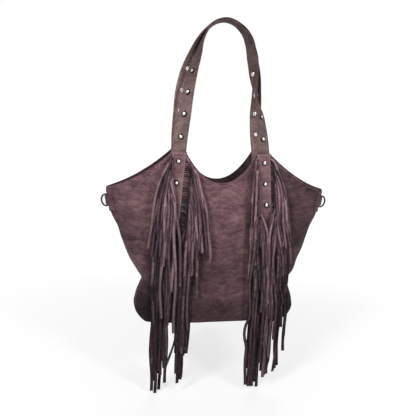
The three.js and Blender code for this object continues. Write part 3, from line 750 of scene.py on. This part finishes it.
def strip_root(hand, out, i):
    """Where strip i leaves the tab's edge, and the way it points there."""
    if i < teeth_side:
        h = comb_top - (comb_top - tab_round) * i / teeth_side
        return Vector((hand * tab_x(h) + out * tab_half, h)), Vector((out, 0.10)).normalized()
    angle = math.pi / 2 * (i - teeth_side + 0.4) / teeth_end
    edge = Vector((hand * tab_x(tab_round) + out * tab_half * math.cos(angle),
                   tab_round - tab_half * math.sin(angle)))
    return edge, Vector((out * math.cos(angle), -math.sin(angle))).normalized()


def strip_lie(hand, way, i, down):
    """How near the front strip i lies, how far out it hangs, how high it ends, and if it crosses the tab."""
    near = 1 - down + random.uniform(-0.2, 0.2)
    top, low, high = combs[hand, way][:3]
    part = min(down / 0.55, 1)
    lane = random.uniform(0.45 * top + (low - 0.45 * top) * part, top + (high - top) * part)
    tip = 0.165 - 0.300 * down ** 1.3 + random.uniform(-0.04, 0.03)
    if down > 0.36 and random.random() < (0.76 if hand < 0 or way > 0 else 0.88):
        lane = random.uniform(low, high)
        tip = lowest_tip + 0.14 * random.random() ** 1.2
        if hand * way > 0:
            tip += (0.10 if hand < 0 else 0.05) * ((lane - low) / (high - low)) ** 1.5
    across_tab = (hand < 0 < way and i < teeth_side * 0.65 and random.random() < 0.4
                  or hand > 0 and teeth_side * 0.66 < i < teeth_side and random.random() < 0.45)
    if across_tab:
        lane = random.uniform(-0.008, 0.013)
        tip = random.uniform(-0.02, 0.15) if hand < 0 else random.uniform(lowest_tip, 0.10)
        near = 1.1
    elif hand > 0 and i >= teeth_side + 3:
        lane = random.uniform(-0.010, 0.014)
    if (hand, way, i) == bowed_strip:
        lane = 0.034
        tip = -0.150
    return near, lane, tip, across_tab


def strand(hand, way, i):
    """Points, twists and tone of strip i of the comb on the outer (way = 1) or inner (way = -1) edge."""
    out = hand * way
    down = i / (teeth_side + teeth_end - 1)
    tooth, clear = combs[hand, way][3:]
    bowed = (hand, way, i) == bowed_strip
    slanting = (hand, way, i) == slanting_strip
    edge, aim = strip_root(hand, out, i)
    near, lane, tip, across_tab = strip_lie(hand, way, i, down)
    tip = max(min(tip, edge.y - 0.09), lowest_tip)
    hang = hand * tab_x(tab_round) + out * lane
    line = [edge - aim * 0.006, edge, edge + aim * tooth * 0.6 - Vector((0, tooth * 0.06)),
            edge + aim * tooth - Vector((0, 0.0010 + tooth * 0.38))]
    drop = random.uniform(0.055, 0.10) if down < 0.5 and not across_tab else random.uniform(0.030, 0.052)
    sway = random.uniform(0.0005, 0.0024)
    phase = random.uniform(0, 6.28)
    drift = random.uniform(-0.05, 0.05)
    slant = random.uniform(-0.06, 0.06) if tip > 0 else random.uniform(-0.015, 0.015)
    if hand > 0 and way > 0:
        slant += 0.100 if tip > -0.05 else 0.045
    x, h = line[-1]
    count = max(int((h - tip) / 0.022), 4)
    fall = (h - tip) / (count - 0.6)
    for n in range(count):
        step = fall * (0.4 if n == 0 else 1)
        h -= step
        goal = hang + slant * min(edge.y - h, 0.2)
        if h > tab_round - tab_half - 0.003 and not across_tab:
            goal = hand * tab_x(h) + out * max(out * (hang - hand * tab_x(h)), tab_half + clear)
        x += (goal - x) * (1 - math.exp(-step / drop)) + drift * step
        bow = 0
        if bowed:
            bow = 0.012 * math.exp(-((h + 0.018) / 0.020) ** 2)
        elif slanting:
            bow = -0.30 * max(-0.036 - h, 0)
        line.append(Vector((x + out * bow + sway * math.sin(phase + n * 0.9), h)))
    layer = 0.0030 + 0.0100 * max(near, 0)
    points = []
    for n, spot in enumerate(line):
        spot.y = min(spot.y, top_edge(spot.x) - 0.009)
        lift = (0.0011, 0.0016, 0.0036, 0.0056)[n] if n < 4 else layer
        lift += 0.0012 * math.sin(phase * 2 + n * 1.3) if n > 4 else 0
        off_tab = abs(abs(spot.x) - tab_x(spot.y))
        if n > 3 and spot.y > tab_round - tab_half and off_tab < tab_half + 0.004:
            lift = max(lift, 0.0078)
        points.append(Vector((spot.x, -(wall_y(spot.x, spot.y) + lift), base_z + spot.y)))
    twists = [out * turn for turn in (0.15, 0.55, 0.75, 0.70, 0.45)]
    while len(twists) < len(points):
        twists.append(random.uniform(-0.4, 0.4) + (0.85 if slanting else 0))
    # Tone: random per strip, plus painted shade, darker the further back the strip lies.
    return points, twists, 0.14 + 0.24 * near + random.uniform(-0.21, 0.21)


def strip_place(points, twists, shares):
    """Places of a strip's grid; shares takes how near each vertex is to the strip's edges, for painted shade
    there.
    """
    last = len(points) - 1

    def place(u, v):
        across = u * 2 - 1
        shares.append(abs(across) ** 3)
        spot = along_points(points, v)
        step = 0.002
        tangent = along_points(points, min(v + step, 1)) - along_points(points, max(v - step, 0))
        tangent.normalize()
        width = tangent.cross(Vector((0, -1, 0))).normalized()
        face = width.cross(tangent)
        i = min(int(v * last), last - 1)
        f = v * last - i
        f = f * f * (3 - 2 * f)
        twist = twists[i] * (1 - f) + twists[i + 1] * f
        wide = width * math.cos(twist) + face * math.sin(twist)
        stand = face * math.cos(twist) - width * math.sin(twist)
        return spot + wide * (strip_half * across) + stand * (0.0005 * across * across)
    return place


for hand, word in ((-1, "left"), (1, "right")):
    for way, edge_word in ((1, "outer"), (-1, "inner")):
        strips = []
        for i in range(teeth_side + teeth_end):
            points, twists, tone = strand(hand, way, i)
            rows = max(len(points) * 2, 12)
            shares = []
            strip = cut_sheet("strip", 4, rows, strip_place(points, twists, shares))
            # Each strip's own tone and its painted shade by depth.
            shade = strip.data.attributes.new("strand_tone_and_depth_shade", "FLOAT", "POINT")
            for value in shade.data:
                value.value = tone
            # Painted shade along the strip's edges.
            shade = strip.data.attributes.new("strip_edge_shade", "FLOAT", "POINT")
            for value, share in zip(shade.data, shares):
                value.value = share
            strips.append(strip)
        bpy.ops.object.select_all(action="DESELECT")
        for strip in strips:
            strip.select_set(True)
        bpy.context.view_layer.objects.active = strips[0]
        bpy.ops.object.join()
        comb = bpy.context.object
        comb.name = word + "_fringe_" + edge_word + "_strips"
        thicken(comb, strip_thick, 0)
        comb.data.materials.append(fringe_suede)
        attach(comb, "bag")
        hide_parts(word + "_fringe_" + edge_word)


# Side patches and ring loops: a folded suede patch round the top of each side seam, and on it a small
# loop that is wrapped round the straight side of the ring.
patch_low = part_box("left_side_patch")[0].z - base_z
patch_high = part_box("left_side_patch")[1].z - base_z
patch_gap = 0.0005
loop_half = 0.009
loop_radius = 0.0021
loop_round = 0.34
loop_wrap = math.radians(100)
bar_gap = 0.0005
bar_radius = 0.0015
patch_suede = suede("patch_suede", ((.036, .019, .023), (.125, .068, .077), (.27, .17, .178)))


def seam_point(share, h, side, out):
    """A point beside the side seam on the plain wall."""
    power = squareness(h / body_height)
    rest = max(1 - share ** power, 0) ** (1 / power)
    across = Vector((share ** (power - 1) / half_width(h), side * rest ** (power - 1) / half_depth(h)))
    across.normalize()
    return Vector((half_width(h) * share + across.x * out, side * half_depth(h) * rest + across.y * out))


def patch_place(hand):
    """Places of a patch's grid, wrapped round the side seam."""
    def place(u, v):
        h = patch_low + (patch_high - patch_low) * v
        turn = (u * 2 - 1) * hand
        share = math.cos(turn * math.acos(0.95))
        flat = seam_point(share, h, 1 if turn > 0 else -1, patch_gap + 0.0002)
        return Vector((hand * flat.x, flat.y, base_z + h))
    return place


def ring_seat(word):
    """Height of a ring's middle, and how far out the loop holds its straight side."""
    ring_low, ring_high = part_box(word + "_d_ring")
    ring_h = (ring_low.z + ring_high.z) / 2 - base_z
    return ring_h, half_width(ring_h) + patch_gap + panel_thick + bar_gap + bar_radius


def loop_place(hand, ring_h, bar_x):
    """Places of a loop's grid: round the ring's straight side and back onto the patch on both sides."""
    def round_bar(angle):
        return Vector((bar_x + loop_radius * math.cos(angle), loop_radius * math.sin(angle)))

    def place(u, v):
        turn = (u * 2 - 1) * hand
        h = ring_h + (v * 2 - 1) * loop_half
        part = abs(turn)
        if part < loop_round:
            flat = round_bar(part / loop_round * loop_wrap)
        else:
            t = (part - loop_round) / (1 - loop_round)
            near = round_bar(loop_wrap)
            far = seam_point(0.958, ring_h, 1, patch_gap + panel_thick + 0.0006)
            mid = seam_point(0.983, ring_h, 1, patch_gap + panel_thick + 0.0006)
            flat = near * (1 - t) ** 2 + mid * 2 * t * (1 - t) + far * t * t
        shift = half_width(h) - half_width(ring_h)
        return Vector((hand * (flat.x + shift), math.copysign(flat.y, turn), base_z + h))
    return place


for hand, word in ((-1, "left"), (1, "right")):
    patch = cut_sheet(word + "_patch_suede", 28, 20, patch_place(hand))
    thicken(patch, panel_thick, 1)
    round_edges(patch, 0.0006)
    patch.data.materials.append(patch_suede)
    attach(patch, "bag")
    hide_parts(word + "_side_patch")

    loop = cut_sheet(word + "_loop_suede", 40, 10, loop_place(hand, *ring_seat(word)))
    thicken(loop, 0.0015, 1)
    round_edges(loop, 0.0005)
    loop.data.materials.append(patch_suede)
    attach(loop, "bag")
    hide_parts(word + "_ring_loop")


# D-rings: dark gunmetal wire bent to a D, its straight side held in the loop. Drawn as a closed curve
# with a round section and turned into a mesh; each swings on its own body.
def rub_marks():
    """The node group of the fine specks on scuffed metal and on the plies of thread."""
    group = bpy.data.node_groups.new("rub_marks", "ShaderNodeTree")
    group.interface.new_socket("Place", in_out="INPUT", socket_type="NodeSocketVector")
    group.interface.new_socket("Fineness", in_out="INPUT", socket_type="NodeSocketFloat")
    group.interface.new_socket("Marks", in_out="OUTPUT", socket_type="NodeSocketFloat")
    nodes, links = group.nodes, group.links
    start = nodes.new("NodeGroupInput")
    end = nodes.new("NodeGroupOutput")
    specks = nodes.new("ShaderNodeTexNoise")
    specks.inputs["Detail"].default_value = 4
    links.new(start.outputs["Place"], specks.inputs["Vector"])
    links.new(start.outputs["Fineness"], specks.inputs["Scale"])
    sharp = nodes.new("ShaderNodeMapRange")
    sharp.inputs["From Min"].default_value = 0.36
    sharp.inputs["From Max"].default_value = 0.66
    links.new(specks.outputs["Fac"], sharp.inputs["Value"])
    links.new(sharp.outputs["Result"], end.inputs["Marks"])
    return group


marks_group = rub_marks()


def marked(material, fineness):
    """The rub marks of a material on its own Object coordinates."""
    nodes, links = material.node_tree.nodes, material.node_tree.links
    place = nodes.new("ShaderNodeTexCoord")
    marks = nodes.new("ShaderNodeGroup")
    marks.node_tree = marks_group
    marks.inputs["Fineness"].default_value = fineness
    links.new(place.outputs["Object"], marks.inputs["Place"])
    return marks.outputs["Marks"]


def marked_colour(material, fineness, plain, wear_and_painted_shading):
    """Base colour that goes from plain to the marked colour where the marks are."""
    nodes, links = material.node_tree.nodes, material.node_tree.links
    ramp = nodes.new("ShaderNodeValToRGB")
    ramp.color_ramp.elements[0].color = (*plain, 1)
    ramp.color_ramp.elements[1].color = (*wear_and_painted_shading, 1)
    links.new(marked(material, fineness), ramp.inputs["Fac"])
    links.new(ramp.outputs["Color"], nodes["Principled BSDF"].inputs["Base Color"])


def marked_gloss(material, fineness, smooth, rough):
    """Roughness that goes from smooth to rough where the marks are."""
    nodes, links = material.node_tree.nodes, material.node_tree.links
    gloss = nodes.new("ShaderNodeMapRange")
    gloss.inputs["To Min"].default_value = smooth
    gloss.inputs["To Max"].default_value = rough
    links.new(marked(material, fineness), gloss.inputs["Value"])
    links.new(gloss.outputs["Result"], nodes["Principled BSDF"].inputs["Roughness"])


gunmetal = bpy.data.materials.new("gunmetal")
gunmetal.use_nodes = True
marked_colour(gunmetal, 420, (.006, .005, .006), (.026, .022, .023))
marked_gloss(gunmetal, 420, 0.30, 0.46)
ring_half = 0.0125
ring_reach = 0.011
wire = 0.0020
bow_steps = 24
for hand, word in ((-1, "left"), (1, "right")):
    ring_h, bar_x = ring_seat(word)
    lean = math.atan((half_width(ring_h + loop_half) - half_width(ring_h - loop_half)) / (2 * loop_half))
    bpy.ops.object.select_all(action="DESELECT")
    bpy.ops.curve.primitive_nurbs_circle_add(radius=1)
    ring = bpy.context.object
    ring.data.splines.clear()
    spline = ring.data.splines.new("POLY")
    outline = [(0, -ring_half + 0.001), (0, ring_half - 0.001), (0.0006, ring_half)]
    for n in range(bow_steps + 1):
        angle = math.pi / 2 - n * math.pi / bow_steps
        outline.append((0.002 + (ring_reach - 0.002) * math.cos(angle), ring_half * math.sin(angle)))
    outline.append((0.0006, -ring_half))
    spline.points.add(len(outline) - 1)
    spline.use_cyclic_u = True
    for point, (x, z) in zip(spline.points, outline):
        out = x * math.cos(lean) + z * math.sin(lean)
        rise = z * math.cos(lean) - x * math.sin(lean)
        point.co = (hand * (bar_x + out), 0, base_z + ring_h + rise, 1)
    ring.data.dimensions = "3D"
    ring.data.bevel_depth = wire
    ring.data.bevel_resolution = 4
    bpy.ops.object.convert(target="MESH")
    ring = bpy.context.object
    ring.name = word + "_ring_wire"
    bpy.ops.object.shade_smooth()
    ring.data.materials.clear()
    ring.data.materials.append(gunmetal)
    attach(ring, word + "_ring")
    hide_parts(word + "_d_ring")


# Studs: nickel domes, bright in the middle and painted dark out to the rim as painted shade round the dome,
# with a post through the suede and a flat cap behind. Each is a profile spun round the axis of its CAD
# stud, from that stud's back to its top.
nickel = bpy.data.materials.new("stud_nickel")
nickel.use_nodes = True
nodes = nickel.node_tree.nodes
links = nickel.node_tree.links
bright = nodes["Principled BSDF"]
bright.inputs["Metallic"].default_value = 1.0
# The rim attribute paints shade: dark on the dome's outer part and rim, bright in its middle.
own = nodes.new("ShaderNodeAttribute")
own.attribute_name = "rim"
shade = nodes.new("ShaderNodeValToRGB")
shade.color_ramp.elements[0].color = (0.74, 0.72, 0.69, 1)
shade.color_ramp.elements[1].color = (0.030, 0.024, 0.024, 1)
links.new(own.outputs["Fac"], shade.inputs["Fac"])
links.new(shade.outputs["Color"], bright.inputs["Base Color"])
marked_gloss(nickel, 600, 0.20, 0.32)


def stud_stack(node):
    """Axis of a CAD stud, and the places of its back and its top along it."""
    spots = [vertex.co.copy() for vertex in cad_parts[node].data.vertices]
    middle = sum(spots, Vector()) / len(spots)
    spread = numpy.cov(numpy.array([tuple(spot - middle) for spot in spots]).T)
    sizes, ways = numpy.linalg.eigh(spread)
    odd = 2 if sizes[2] - sizes[1] > sizes[1] - sizes[0] else 0
    axis = Vector(ways[:, odd])
    reach = [(spot - middle).dot(axis) for spot in spots]

    def end_radius(end):
        return max(((spot - middle) - axis * (spot - middle).dot(axis)).length
                   for spot, at in zip(spots, reach) if abs(at - end) < 0.0002)

    if end_radius(max(reach)) > end_radius(min(reach)):
        axis = -axis
        reach = [-at for at in reach]
    return middle, axis, min(reach), max(reach)


dome_half = 0.0057
dome_high = 0.0036
post_half = 0.0020
spin_steps = 28


def stud_profile(low, high):
    """Radius and height of a stud's outline, from the top of its dome to the middle of its back cap."""
    seat = high - dome_high
    dome = [(0, high)]
    for n in range(1, 9):
        angle = math.pi / 2 * n / 8
        dome.append((dome_half * 0.93 * math.sin(angle),
                     seat + 0.0006 + (high - seat - 0.0006) * math.cos(angle)))
    rim = [(dome_half * 0.96, seat + 0.0004), (dome_half * 1.08, seat + 0.0002),
           (dome_half * 1.10, seat - 0.0004), (dome_half * 1.02, seat - 0.0008)]
    post = [(post_half, seat - 0.0008), (post_half, low + 0.0014)]
    cap = [(0.0041, low + 0.0014), (0.0044, low + 0.0009), (0.0040, low + 0.0002), (0.0030, low), (0, low)]
    return dome + rim + post + cap


for node in sorted(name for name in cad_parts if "_stud_" in name):
    middle, axis, low, high = stud_stack(node)
    profile = stud_profile(low, high)
    mesh = bpy.data.meshes.new(node + "_cap")
    mesh.from_pydata([(r, 0, z) for r, z in profile], [(n, n + 1) for n in range(len(profile) - 1)], [])
    stud = bpy.data.objects.new(node + "_cap", mesh)
    bpy.context.collection.objects.link(stud)
    bpy.ops.object.select_all(action="DESELECT")
    stud.select_set(True)
    bpy.context.view_layer.objects.active = stud
    spin = stud.modifiers.new("spin", "SCREW")
    spin.axis = "Z"
    spin.steps = spin_steps
    spin.render_steps = spin_steps
    spin.use_merge_vertices = True
    spin.merge_threshold = 0.00001
    bpy.ops.object.modifier_apply(modifier="spin")
    bpy.ops.object.mode_set(mode="EDIT")
    bpy.ops.mesh.select_all(action="SELECT")
    bpy.ops.mesh.normals_make_consistent(inside=False)
    bpy.ops.object.mode_set(mode="OBJECT")
    # Painted shade: 0 in the dome's middle and on the back cap, 1 (dark) out at the rim.
    rim = stud.data.attributes.new("rim", "FLOAT", "POINT")
    for vertex, value in zip(stud.data.vertices, rim.data):
        wide = math.hypot(vertex.co.x, vertex.co.y)
        in_front = vertex.co.z > high - dome_high - 0.001
        value.value = clamped((wide / dome_half - 0.42) / 0.18) if in_front else 0
    turn = Vector((0, 0, 1)).rotation_difference(axis).to_matrix().to_4x4()
    stud.data.transform(Matrix.Translation(middle) @ turn)
    bpy.ops.object.shade_smooth_by_angle(angle=smooth_angle)
    stud.data.materials.append(nickel)
    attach(stud, "bag")
    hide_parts(node)


# Stitching: single thread stitches sunk in the suede, pale round the tabs and along the mouth's hem,
# plum on the straps. One stitch is modelled and copied along each row.
bpy.ops.object.select_all(action="DESELECT")
bpy.ops.mesh.primitive_uv_sphere_add(segments=6, ring_count=4, radius=1)
one_stitch = bpy.context.object
stitch_spots = [vertex.co.copy() for vertex in one_stitch.data.vertices]
stitch_faces = [tuple(face.vertices) for face in one_stitch.data.polygons]
bpy.ops.object.delete()


def thread(name, colour):
    """Matt thread, its plies a little lighter and darker than its colour."""
    material = bpy.data.materials.new(name)
    material.use_nodes = True
    shader = material.node_tree.nodes["Principled BSDF"]
    marked_colour(material, 900, [part * 0.72 for part in colour], [part * 1.28 for part in colour])
    shader.inputs["Roughness"].default_value = 0.8
    shader.inputs["Specular IOR Level"].default_value = 0.25
    return material


def stitch_row(spots, pitch, length, radius):
    """Corners and faces of the stitches along a row of (point, normal) spots."""
    runs = [0.0]
    for a, b in zip(spots, spots[1:]):
        runs.append(runs[-1] + (b[0] - a[0]).length)

    def at(run):
        k = next((n for n in range(len(runs) - 2) if run <= runs[n + 1]), len(runs) - 2)
        t = (run - runs[k]) / max(runs[k + 1] - runs[k], 1e-9)
        return spots[k][0].lerp(spots[k + 1][0], t), spots[k][1].lerp(spots[k + 1][1], t).normalized()

    corners = []
    faces = []
    count = max(int(runs[-1] / pitch), 1)
    for n in range(count):
        run = (n + 0.5) * runs[-1] / count
        spot, normal = at(run)
        along = (at(min(run + length / 2, runs[-1]))[0] - at(max(run - length / 2, 0))[0]).normalized()
        across = normal.cross(along).normalized()
        along = (along + across * 0.10).normalized()
        first = len(corners)
        for p in stitch_spots:
            corners.append(spot + along * (p.z * length / 2) + across * (p.x * radius)
                           + normal * (p.y * radius * 0.7))
        faces += [tuple(first + v for v in face) for face in stitch_faces]
    return corners, faces


def sew(name, rows, pitch, length, radius, material):
    """One piece of all the stitches along some rows."""
    corners = []
    faces = []
    for row in rows:
        more, shapes = stitch_row(row, pitch, length, radius)
        first = len(corners)
        corners += more
        faces += [tuple(first + v for v in face) for face in shapes]
    mesh = bpy.data.meshes.new(name)
    mesh.from_pydata(corners, [], faces)
    mesh.update()
    stitches = bpy.data.objects.new(name, mesh)
    bpy.context.collection.objects.link(stitches)
    bpy.ops.object.select_all(action="DESELECT")
    stitches.select_set(True)
    bpy.context.view_layer.objects.active = stitches
    bpy.ops.object.shade_smooth()
    mesh.materials.append(material)
    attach(stitches, "bag")
    return stitches


pale_thread = thread("pale_thread", (.29, .215, .21))
tab_thread = thread("tab_thread", (.52, .42, .41))
plum_thread = thread("plum_thread", (.085, .050, .056))

for hand, word in ((-1, "left"), (1, "right")):
    rows = []
    for edge in (-1, 1):
        row = []
        for n in range(118):
            down = 0.014 + 0.986 * n / 117
            spot = tab_spot(hand, edge * tab_seam, down)
            row.append((spot + Vector((0, -tab_thick - 0.0001, 0)), Vector((0, -1, 0))))
        rows.append(row)
    top_row = []
    for n in range(20):
        spot = tab_spot(hand, -0.84 + 1.68 * n / 19, 0.016)
        top_row.append((spot + Vector((0, -tab_thick - 0.0003, 0)), Vector((0, -1, 0))))
    rows.append(top_row)
    sew(word + "_tab_stitches", rows, 0.0036, 0.0029, 0.00055, tab_thread)

wing_end = 0.2375
wing_start = 0.1055
scoop_end = 0.0755
for side, word in ((-1, "front"), (1, "back")):
    rows = []
    for x0, x1 in ((-wing_end, -wing_start), (-scoop_end, scoop_end), (wing_start, wing_end)):
        row = []
        for n in range(121):
            x = x0 + (x1 - x0) * n / 120
            h = top_edge(x) - hem_seam
            row.append((wall_point(x / mouth_half, h, side, 0.0006), wall_normal(x, h, side)))
        rows.append(row)
    sew(word + "_mouth_stitches", rows, 0.0038, 0.0031, 0.0004, pale_thread)
    row = []
    for n in range(161):
        x = base_half * 0.93 * (n / 80 - 1)
        h = base_edge(x) + 0.0055
        row.append((wall_point(x / half_width(h), h, side, 0.0001), wall_normal(x, h, side)))
    sew(word + "_base_stitches", [row], 0.0042, 0.0031, 0.00055, plum_thread)

for side, word in ((-1, "front"), (1, "back")):
    keys = handle_points(side)
    rows = []
    for edge in (-1, 1):
        for face in (-1, 1):
            row = []
            for n in range(241):
                spot, normal, width = strap_frame(keys, side, 0.03 + 0.94 * n / 240)
                seam = width * (edge * strap_seam * strap_half)
                row.append((spot + seam + normal * (face * strap_thick / 2), normal * face))
            rows.append(row)
    sew(word + "_strap_stitches", rows, 0.0044, 0.0032, 0.0004, plum_thread)


# Studio: a white floor just under the fringe tips, a soft lamp high on the left, a weaker one on the
# right, two more above and behind, and a dim plain world. The camera and the metal see it all as white.
def plainly_seen(nodes, links):
    """1 for the rays that see the background itself: camera, glossy and transmission rays."""
    rays = nodes.new("ShaderNodeLightPath")
    total = rays.outputs["Is Camera Ray"]
    for kind in ("Is Glossy Ray", "Is Transmission Ray"):
        more = nodes.new("ShaderNodeMath")
        more.use_clamp = True
        links.new(total, more.inputs[0])
        links.new(rays.outputs[kind], more.inputs[1])
        total = more.outputs[0]
    return total


floor_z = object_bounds()[0][2] - 0.001
bpy.ops.object.select_all(action="DESELECT")
bpy.ops.mesh.primitive_circle_add(vertices=96, radius=30, fill_type="NGON", location=(0, 0, 0))
floor = bpy.context.object
floor.name = "floor"
floor.data.transform(Matrix.Translation((0, 0, floor_z)))
paper = bpy.data.materials.new("floor_white")
paper.use_nodes = True
nodes = paper.node_tree.nodes
links = paper.node_tree.links
matt = nodes["Principled BSDF"]
matt.inputs["Base Color"].default_value = (0.80, 0.80, 0.80, 1)
matt.inputs["Roughness"].default_value = 1.0
matt.inputs["Specular IOR Level"].default_value = 0.0
glow = nodes.new("ShaderNodeEmission")
glow.inputs["Strength"].default_value = 1.09
place = nodes.new("ShaderNodeTexCoord")
reach = nodes.new("ShaderNodeVectorMath")
reach.operation = "LENGTH"
links.new(place.outputs["Object"], reach.inputs[0])
away = nodes.new("ShaderNodeMapRange")
away.inputs["From Min"].default_value = 0.80
away.inputs["From Max"].default_value = 1.5
away.inputs["To Min"].default_value = 0.62
away.inputs["To Max"].default_value = 1.0
links.new(reach.outputs["Value"], away.inputs["Value"])
part = nodes.new("ShaderNodeMath")
part.operation = "MULTIPLY"
links.new(plainly_seen(nodes, links), part.inputs[0])
links.new(away.outputs["Result"], part.inputs[1])
blend = nodes.new("ShaderNodeMixShader")
links.new(part.outputs[0], blend.inputs["Fac"])
links.new(matt.outputs["BSDF"], blend.inputs[1])
links.new(glow.outputs["Emission"], blend.inputs[2])
links.new(blend.outputs["Shader"], nodes["Material Output"].inputs["Surface"])
floor.data.materials.append(paper)

world = bpy.data.worlds.new("studio")
bpy.context.scene.world = world
world.use_nodes = True
nodes = world.node_tree.nodes
links = world.node_tree.links
soft = nodes["Background"]
soft.inputs["Color"].default_value = (0.93, 0.95, 1.0, 1)
soft.inputs["Strength"].default_value = 0.17
white = nodes.new("ShaderNodeBackground")
white.inputs["Color"].default_value = (1, 1, 1, 1)
blend = nodes.new("ShaderNodeMixShader")
links.new(plainly_seen(nodes, links), blend.inputs["Fac"])
links.new(soft.outputs["Background"], blend.inputs[1])
links.new(white.outputs["Background"], blend.inputs[2])
links.new(blend.outputs["Shader"], nodes["World Output"].inputs["Surface"])

centre = Vector((-0.021, 0, base_z + 0.242))
lamps = (
    ("key", (-1.30, -1.30, 1.20), 0.6, 39),
    ("fill", (0.95, -1.28, 0.70), 0.4, 17),
    ("top", (0.1, 0.2, 1.5), 1.0, 4),
    ("behind", (0.5, 1.7, 0.7), 1.2, 16),
)
for name, place, size, power in lamps:
    lamp = bpy.data.lights.new(name, "AREA")
    lamp.shape = "DISK"
    lamp.size = size
    lamp.energy = power
    light = bpy.data.objects.new(name, lamp)
    bpy.context.collection.objects.link(light)
    light.location = place
    light.rotation_euler = (centre - light.location).to_track_quat("-Z", "Y").to_euler()

lens = bpy.data.cameras.new("camera")
lens.lens = 39.375
lens.sensor_width = 36
camera = bpy.data.objects.new("camera", lens)
bpy.context.collection.objects.link(camera)
azimuth = math.radians(-9.87)
rise = math.radians(12.24)
roll = math.radians(2.38)
distance = 1.0028
look = Vector((math.sin(azimuth) * math.cos(rise), -math.cos(azimuth) * math.cos(rise), math.sin(rise)))
right = Vector((math.cos(azimuth), math.sin(azimuth), 0))
up = look.cross(right)
tilted = right * math.cos(roll) + up * math.sin(roll)
upright = up * math.cos(roll) - right * math.sin(roll)
facing = Matrix((tilted, upright, look)).transposed().to_4x4()
camera.matrix_world = Matrix.Translation(centre + look * distance) @ facing
bpy.context.scene.camera = camera
bpy.context.scene.view_settings.view_transform = "Standard"
